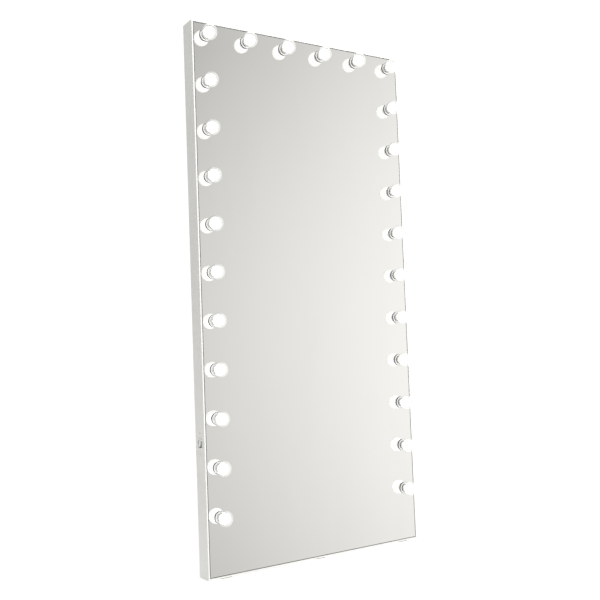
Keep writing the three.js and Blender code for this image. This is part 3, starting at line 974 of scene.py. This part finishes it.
def rocker_mesh():
    """The CAD paddle with its middle crease turned into a hollow and its edges rounded, its sides dark as
    painted shade
    """
    bm = merged("switch_rocker")
    fronts = [face for face in bm.faces if face.normal.x < -PADDLE_FRONT]
    halves = sorted(fronts, key=lambda face: face.calc_area(), reverse=True)[:2]
    crease = [edge for edge in halves[0].edges if edge in halves[1].edges]
    bmesh.ops.bevel(bm, geom=crease, offset=HOLLOW_WIDTH * MM, segments=8, profile=0.5, affect="EDGES")
    rounded_edges(bm, sharp_edges(bm, PADDLE_SHARP), 0.45, 3)
    for face in bm.faces:
        # Only faces turned outwards stay white; the paddle's other faces are dark, painted shade for the well
        # round it
        face.material_index = 0 if face.normal.x < -PADDLE_WHITE else 1
        face.smooth = face.smooth or face.normal.x < -PADDLE_FRONT
    return mesh_from("rocker", bm)


piece(finished("switch_paddle", rocker_mesh(), [WHITE_PLASTIC, BLACK_PLASTIC_AND_SHADE]),
      body="rocker", replaces=["switch_rocker"])
dress("switch_bracket", ZINC)
for name, side in (("upper", 1), ("lower", -1)):
    spot = on_side(SWITCH_SCREW_GAP, height=side * SWITCH_SCREWS)
    turn = Matrix.Rotation(SWITCH_SCREW_TURN * side, 4, "Z")
    head = shared(f"{name}_switch_screw_head", PAN_HEAD, spot @ turn)
    piece(head, replaces=[f"{name}_switch_screw"])

# ---------------------------------------------------------------- back

PANEL_INSET = 2.2
PANEL_FRONT = 63.3
PANEL_BACK = 64.3
PANEL_SCREW_INSET = 10
PANEL_SCREW_ROWS = 7
HANGER_X = 250
HANGER_Z = 1736
HANGER_OPENING = (50, 36, 2)
INLET_X = -330
INLET_Z = 148
INLET_OPENING = (28, 20.4, 0.6)

panel_outline = (2 * (HALF - PANEL_INSET), HEIGHT - 2 * PANEL_INSET, 2)
panel_loops = [rounded(*panel_outline, (0, HEIGHT / 2), 3)]
panel_loops += [rounded(*HANGER_OPENING, (x, HANGER_Z), 3) for x in (-HANGER_X, HANGER_X)]
panel_loops += [rounded(*INLET_OPENING, (INLET_X, INLET_Z), 3)]
panel = upright(sheet(panel_loops, PANEL_BACK - PANEL_FRONT, 0.2), PANEL_FRONT, PANEL_BACK)
piece(finished("back_cover", panel, [BACK_PAINT]), replaces=["back_panel"])

# From behind, a head's local z points to the row's +Y
TO_FACE_WALL = Matrix.Rotation(math.radians(-90), 4, "X")


def behind(x, v, z, turn=0.0):
    return Matrix.Translation(place(x, v, z)) @ TO_FACE_WALL @ Matrix.Rotation(turn, 4, "Z")


edge = HALF - PANEL_SCREW_INSET
top_row = HEIGHT - PANEL_SCREW_INSET
span = HEIGHT - 2 * PANEL_SCREW_INSET
rows = [top_row - span * i / (PANEL_SCREW_ROWS - 1) for i in range(PANEL_SCREW_ROWS)]
panel_screws = [(side * edge, z) for side in (-1, 1) for z in rows]
panel_screws += [(x, z) for x in (-edge / 3, edge / 3) for z in (PANEL_SCREW_INSET, top_row)]
for number, (x, z) in enumerate(panel_screws, 1):
    head = shared(f"panel_screw_{number:02d}", PANEL_HEAD, behind(x, PANEL_BACK, z, number * 0.7))
    piece(head)


KEYHOLE_HEAD = 6
KEYHOLE_SLOT = 3
KEYHOLE_TOP = 11
KEYHOLE_DROP = 4
SLOT_STEPS = 8
HEAD_STEPS = 24


def keyhole(x, z):
    """Round entry below, slot above"""
    loop = []
    for i in range(SLOT_STEPS + 1):
        angle = math.pi * i / SLOT_STEPS
        loop.append((x + KEYHOLE_SLOT * math.cos(angle), z + KEYHOLE_TOP + KEYHOLE_SLOT * math.sin(angle)))
    meet = math.asin(KEYHOLE_SLOT / KEYHOLE_HEAD)
    for i in range(HEAD_STEPS + 1):
        angle = math.pi / 2 + meet + (2 * math.pi - 2 * meet) * i / HEAD_STEPS
        loop.append((x + KEYHOLE_HEAD * math.cos(angle), z - KEYHOLE_DROP + KEYHOLE_HEAD * math.sin(angle)))
    return loop


HANGER_PLATE = (74, 60, 4)
HANGER_SCREWS = (31, 24)
PLATE_GAP = 0.3
PLATE_EDGE = 0.3
SCREW_HOLE = 2.6
SCREW_SUNK = 1.6

for name, x in (("left", -HANGER_X), ("right", HANGER_X)):
    corners = [(x + sx * HANGER_SCREWS[0], HANGER_Z + sz * HANGER_SCREWS[1])
               for sx in (-1, 1) for sz in (-1, 1)]
    loops = [rounded(*HANGER_PLATE, (x, HANGER_Z)), keyhole(x, HANGER_Z)]
    loops += [circle(cx, cz, SCREW_HOLE) for cx, cz in corners]
    steel = sheet(loops, DEPTH - PANEL_BACK - PLATE_GAP, PLATE_EDGE)
    upright(steel, PANEL_BACK + PLATE_GAP, DEPTH)
    piece(finished(f"{name}_keyhole_plate", steel, [ZINC]),
          replaces=[f"{name}_hanger_plate"])
    for number, (cx, cz) in enumerate(corners, 1):
        spot = behind(cx, DEPTH - SCREW_SUNK, cz, number * 1.1)
        piece(shared(f"{name}_plate_screw_{number}", FLAT_HEAD, spot))

FLANGE = (50, 23, 4)
FLANGE_FRONT = 64.6
FLANGE_THICK = 2.0
INLET_WALL = (27.4, 19.8, 1)
INLET_INSIDE = (24.6, 17, 1.5)
INLET_SCREW_X = 19.5
INLET_WALL_ENDS = (49.0, 65.0)
INLET_FLOOR_ENDS = (43.0, 49.6)
PIN_HALF = (1, 2)
PIN_ENDS = (49.5, 60.6)
PIN_PLACES = ((-7, -1.5), (7, -1.5), (0, 3))
INLET_TAB_HALF = (0.4, 3.15)
INLET_TAB_ENDS = (35.5, 43.2)
INLET_TAB_PLACES = (-8, 0, 8)


def inlet_mesh():
    """Flange and well of the power inlet, its three pins, and the three tabs behind it"""
    middle = (INLET_X, INLET_Z)
    wall, inside = rounded(*INLET_WALL, middle), rounded(*INLET_INSIDE, middle)
    screw_holes = [circle(INLET_X + side * INLET_SCREW_X, INLET_Z, SCREW_HOLE) for side in (-1, 1)]
    flange_loops = [rounded(*FLANGE, middle), inside, *screw_holes]
    flange = upright(sheet(flange_loops, FLANGE_THICK, 0.4, 2), FLANGE_FRONT, DEPTH)
    walls = slab([wall, inside], *INLET_WALL_ENDS)
    well_floor = slab([wall], *INLET_FLOOR_ENDS)
    centre = Matrix.Translation(place(INLET_X, 0, INLET_Z))
    (pin_x, pin_z), (front, back) = PIN_HALF, PIN_ENDS
    pins = [block((x - pin_x, front, z - pin_z), (x + pin_x, back, z + pin_z), 0.5, 2, centre)
            for x, z in PIN_PLACES]
    (tab_x, tab_z), (front, back) = INLET_TAB_HALF, INLET_TAB_ENDS
    tabs = [block((x - tab_x, front, -tab_z), (x + tab_x, back, tab_z), 0.1, 1, centre)
            for x in INLET_TAB_PLACES]
    return joined("inlet", [painted(mesh, 0) for mesh in (flange, walls, well_floor)]
                  + [painted(mesh, 1) for mesh in pins + tabs])


piece(finished("appliance_inlet", inlet_mesh(), [BLACK_PLASTIC_AND_SHADE, NICKEL]),
      replaces=["power_inlet"])
for number, side in enumerate((-1, 1), 1):
    spot = behind(INLET_X + side * INLET_SCREW_X, DEPTH - SCREW_SUNK, INLET_Z, number)
    piece(shared(f"inlet_screw_{number}", FLAT_HEAD, spot))

# ---------------------------------------------------------------- feet and inside

for side in ("left", "centre", "right"):
    pad = softened(f"{side}_foot_pad", 0.5)
    piece(finished(f"{side}_foot", pad, [FOOT_RUBBER]),
          replaces=[f"{side}_foot_pad"])

for corner in ("bottom_left", "bottom_right", "top_right", "top_left"):
    dress(f"corner_bracket_{corner}", ZINC)
dress("edge_gasket", BLACK_FOAM)
dress("backing_board", HARDBOARD)
dress("junction_box", GREY_PLASTIC)
dress("junction_box_lid", GREY_PLASTIC)
dress("terminal_block", WHITE_PLASTIC)
for lead in ("wiring_loom", "supply_lead", "switch_lead"):
    dress(lead, WIRE_SLEEVE)

# ---------------------------------------------------------------- stage and light

FLOOR_RADIUS = 7.0
FLOOR_DROP = 0.0002
FLOOR_GLOW = 0.31
FADE_START = 1.4
FADE_END = 4.5

bm = bmesh.new()
bmesh.ops.create_circle(bm, cap_ends=True, segments=96, radius=FLOOR_RADIUS)
floor_mesh = mesh_from("floor", bm)
floor = bpy.data.objects.new("floor", floor_mesh)
floor.location = (0, 0, -FLOOR_DROP)
scene.collection.objects.link(floor)
floor.visible_glossy = False

floor_look = Look("pale floor", roughness=0.8)
floor_look.two_tone(floor_look.noise(3, 4), (0.84, 0.84, 0.835), (0.86, 0.86, 0.855))
floor_look.shader.inputs["Emission Color"].default_value = (1, 1, 1, 1)
floor_look.shader.inputs["Emission Strength"].default_value = FLOOR_GLOW
distance = floor_look.add("ShaderNodeVectorMath", operation="LENGTH")
floor_look.join(floor_look.space, distance.inputs[0])
fade = floor_look.ranged(distance.outputs["Value"], FADE_START, FADE_END, 1, 0, blend="SMOOTHERSTEP")
floor_look.join(fade, floor_look.shader.inputs["Alpha"])
floor_mesh.materials.append(floor_look.material)

# The room: plain pale surroundings for the eye, and soft slopes of grey to light and reflect
SURROUNDINGS = 1.05
ROOM_TINT = (1.0, 1.0, 0.985, 1)
RISE_RIGHT = 1.396
MIDDLE_LEVEL = 0.173
BEND = 1.295
MOST_BEND = 0.12

# Slopes: the two ends of a direction, then the level at each
FAR_LEFT = (-1, 0.13, 0.62, 0.36)
OVER_FLOOR = (-0.9, -0.26, 0.45, 0)
FAR_RIGHT = (0.68, 1, 1.1, 0.55)
BEHIND_LEFT = (-0.7, 0.1, 0.42, 0.85)
BEHIND_RIGHT = (0.5, 1, 0.85, 0.55)
FRONT_TO_BACK = (-0.25, 0.25, 0, 1)

world = bpy.data.worlds.new("studio")
scene.world = world
world.use_nodes = True
sky = world.node_tree.nodes["Background"]
room = Nodes(world.node_tree)
split = room.add("ShaderNodeSeparateXYZ")
room.join(room.add("ShaderNodeTexCoord").outputs["Generated"], split.inputs["Vector"])
dx, dy, dz = split.outputs["X"], split.outputs["Y"], split.outputs["Z"]

# In front: brighter to the right and at eye level, with a rise at the far left and over the floor
slope = room.combined("ADD", room.combined("MULTIPLY", dx, RISE_RIGHT), MIDDLE_LEVEL)
bend = room.combined("MINIMUM", room.combined("MULTIPLY", dz, dz), MOST_BEND)
slope = room.combined("SUBTRACT", slope, room.combined("MULTIPLY", bend, BEND))
slope = room.combined("MAXIMUM", slope, room.ranged(dx, *FAR_LEFT))
slope = room.combined("ADD", slope, room.ranged(dz, *OVER_FLOOR))
in_front = room.combined("MINIMUM", slope, room.ranged(dx, *FAR_RIGHT))

# Behind: pale, with both sides darker
in_back = room.combined("MINIMUM", room.ranged(dx, *BEHIND_LEFT), room.ranged(dx, *BEHIND_RIGHT))

# The eye and what is seen through glass get the plain level; lighting and reflections get the slopes
slopes = room.mixed(room.ranged(dy, *FRONT_TO_BACK, blend="SMOOTHSTEP"), in_front, in_back)
ray = room.add("ShaderNodeLightPath")
seen = room.combined("MAXIMUM", ray.outputs["Is Camera Ray"], ray.outputs["Is Transmission Ray"])
room.join(room.mixed(seen, slopes, SURROUNDINGS), sky.inputs["Strength"])
sky.inputs["Color"].default_value = ROOM_TINT


def softbox(name, at, target, size, power):
    lamp = bpy.data.lights.new(name, "AREA")
    lamp.shape = "RECTANGLE"
    lamp.size, lamp.size_y = size
    lamp.energy = power
    thing = bpy.data.objects.new(name, lamp)
    thing.location = at
    thing.rotation_euler = (Vector(target) - Vector(at)).to_track_quat("-Z", "Y").to_euler()
    thing.visible_glossy = False
    thing.visible_camera = False
    thing.visible_transmission = False
    scene.collection.objects.link(thing)


softbox("front softbox", (0.5, -3.6, 2.6), (0, 0, 0.9), (2.2, 2.2), 110)
softbox("top softbox", (0, 0.2, 4.2), (0, 0, 0), (3.5, 3.5), 60)
